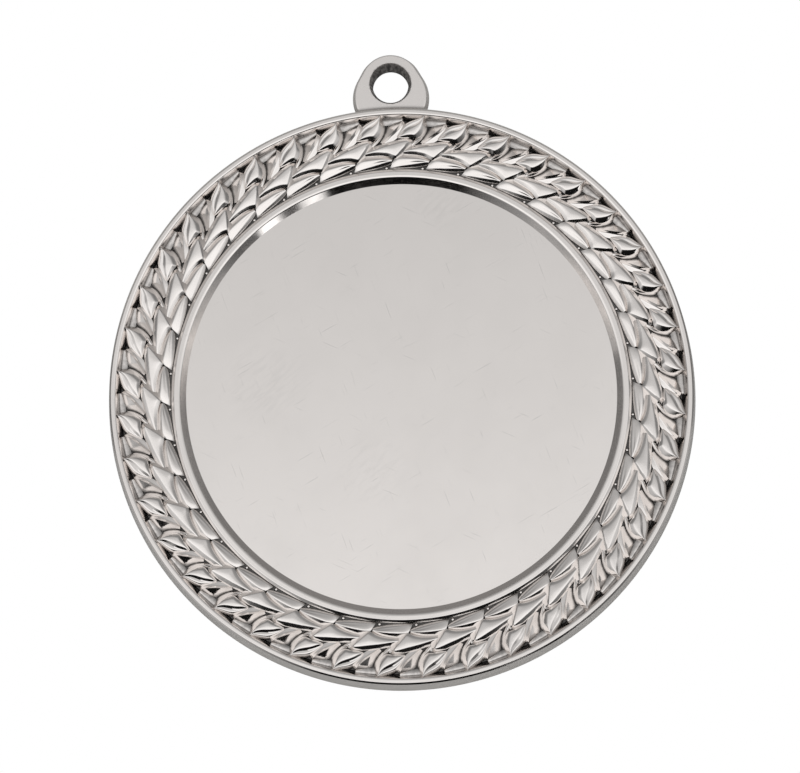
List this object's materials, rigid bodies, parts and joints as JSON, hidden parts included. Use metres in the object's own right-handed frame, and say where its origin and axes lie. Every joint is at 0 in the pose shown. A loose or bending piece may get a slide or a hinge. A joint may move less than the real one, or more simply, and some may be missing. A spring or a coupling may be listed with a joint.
{
  "type": "award medal blank",
  "caption": "Round plated die-cast award medal blank with a laurel wreath border, a flat recess for a printed insert and a lug with a hole for a ribbon ring.",
  "frame": {"origin": "centre of the flat back face", "axes": "+Z out of the front face, +Y towards the ribbon lug, +X to the right seen from the front; the medal lies on its back"},
  "size_m": [0.07, 0.0767, 0.004],
  "materials": {
    "mirror_floor": "bright silver plating, polished nearly to a mirror, with faint rub marks",
    "polished_rims": "bright silver plating over polished zinc",
    "wreath_leaves": "bright silver plating over as-cast relief",
    "wreath_ground": "bright silver plating over as-cast ground, slightly rough",
    "plated_lug": "silver plating, satin on the flat face",
    "plated_back": "silver plating, plain satin back"
  },
  "bodies": {
    "root": {"back_plate": "plated_back", "recess_floor": "mirror_floor", "inner_ring": "polished_rims", "wreath_bed": "wreath_ground", "outer_rim": "polished_rims", "outer_leaves": "wreath_leaves", "second_leaves": "wreath_leaves", "back_leaves": "wreath_leaves", "middle_leaves": "wreath_leaves", "inner_leaves": "wreath_leaves", "berries": "wreath_leaves", "ribbon_lug": "plated_lug"}
  },
  "joints": []
}
